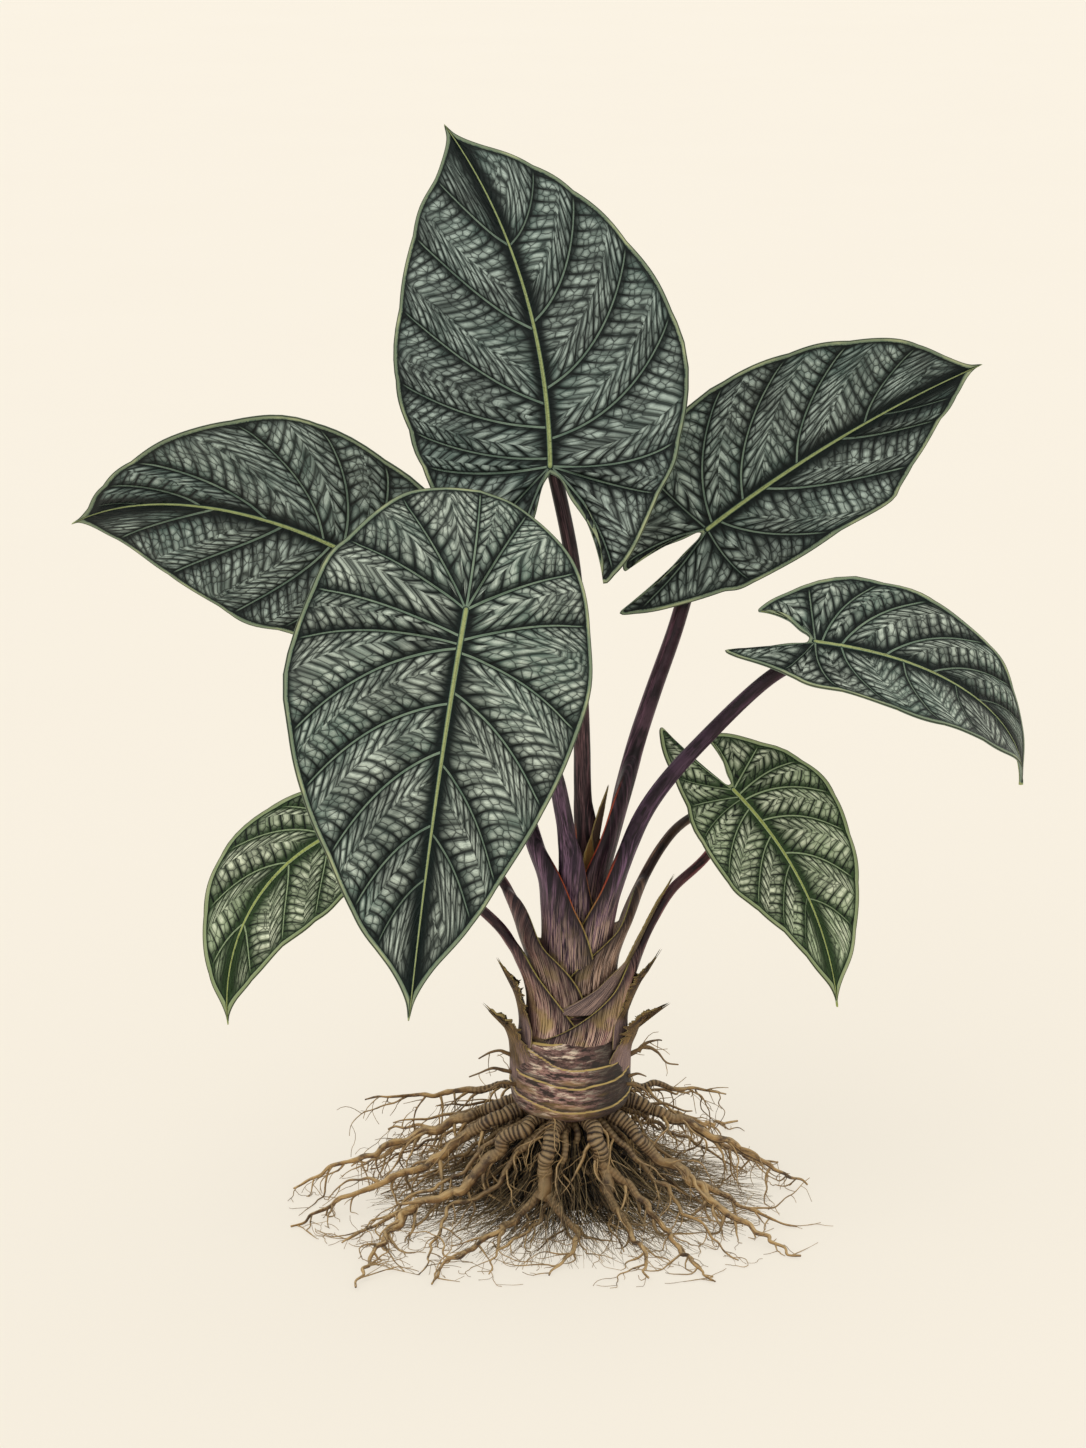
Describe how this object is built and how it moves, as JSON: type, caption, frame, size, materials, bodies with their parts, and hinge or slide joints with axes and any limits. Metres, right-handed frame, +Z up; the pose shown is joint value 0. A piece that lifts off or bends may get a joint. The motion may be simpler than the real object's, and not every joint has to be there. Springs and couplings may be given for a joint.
{
  "type": "bare-root alocasia chaii plant",
  "caption": "Bare-rooted aroid house plant: dark quilted arrow-shaped leaves on purple sheathed stalks, a short ringed stem and branching roots it stands on.",
  "frame": {"origin": "on the stem's axis, in the surface that the roots stand on", "axes": "+Z up along the stem, -Y towards the side that the picture shows, +X to that view's right"},
  "size_m": [0.4198, 0.2856, 0.4633],
  "materials": {
    "blade_green": "living leaf, dark grey-green with a satin face",
    "blade_olive": "living leaf, olive-green with a satin face",
    "stalk_purple": "smooth dark purple leaf stalk",
    "stalk_brown": "smooth purple-brown leaf stalk",
    "stem_bark": "ringed mauve-brown stem",
    "dry_sheath": "dry papery sheath",
    "root": "golden-brown ringed root",
    "fine_root": "dark matted fine roots"
  },
  "bodies": {
    "root": {"stem": "stem_bark", "stalk_top": "stalk_purple", "blade_top": "blade_green", "stalk_upper_right": "stalk_purple", "blade_upper_right": "blade_green", "stalk_front": "stalk_purple", "blade_front": "blade_green", "stalk_right": "stalk_purple", "blade_right": "blade_green", "stalk_left": "stalk_purple", "blade_left": "blade_green", "stalk_rear_right": "stalk_brown", "blade_rear_right": "blade_green", "stalk_rear_left": "stalk_brown", "blade_rear_left": "blade_green", "stalk_lower_right": "stalk_brown", "blade_lower_right": "blade_olive", "stalk_lower_left": "stalk_brown", "blade_lower_left": "blade_olive", "bract_centre": "dry_sheath", "bract_front": "dry_sheath", "bract_right": "dry_sheath", "old_sheath_left_high": "dry_sheath", "old_sheath_left_low": "dry_sheath", "old_sheath_right_high": "dry_sheath", "old_sheath_right_low": "dry_sheath", "root_1": "root", "root_2": "root", "root_3": "root", "root_4": "root", "root_5": "root", "root_6": "root", "root_7": "root", "root_8": "root", "root_9": "root", "root_10": "root", "root_11": "root", "root_12": "root", "root_13": "root", "crown_mat": "fine_root"}
  },
  "joints": []
}
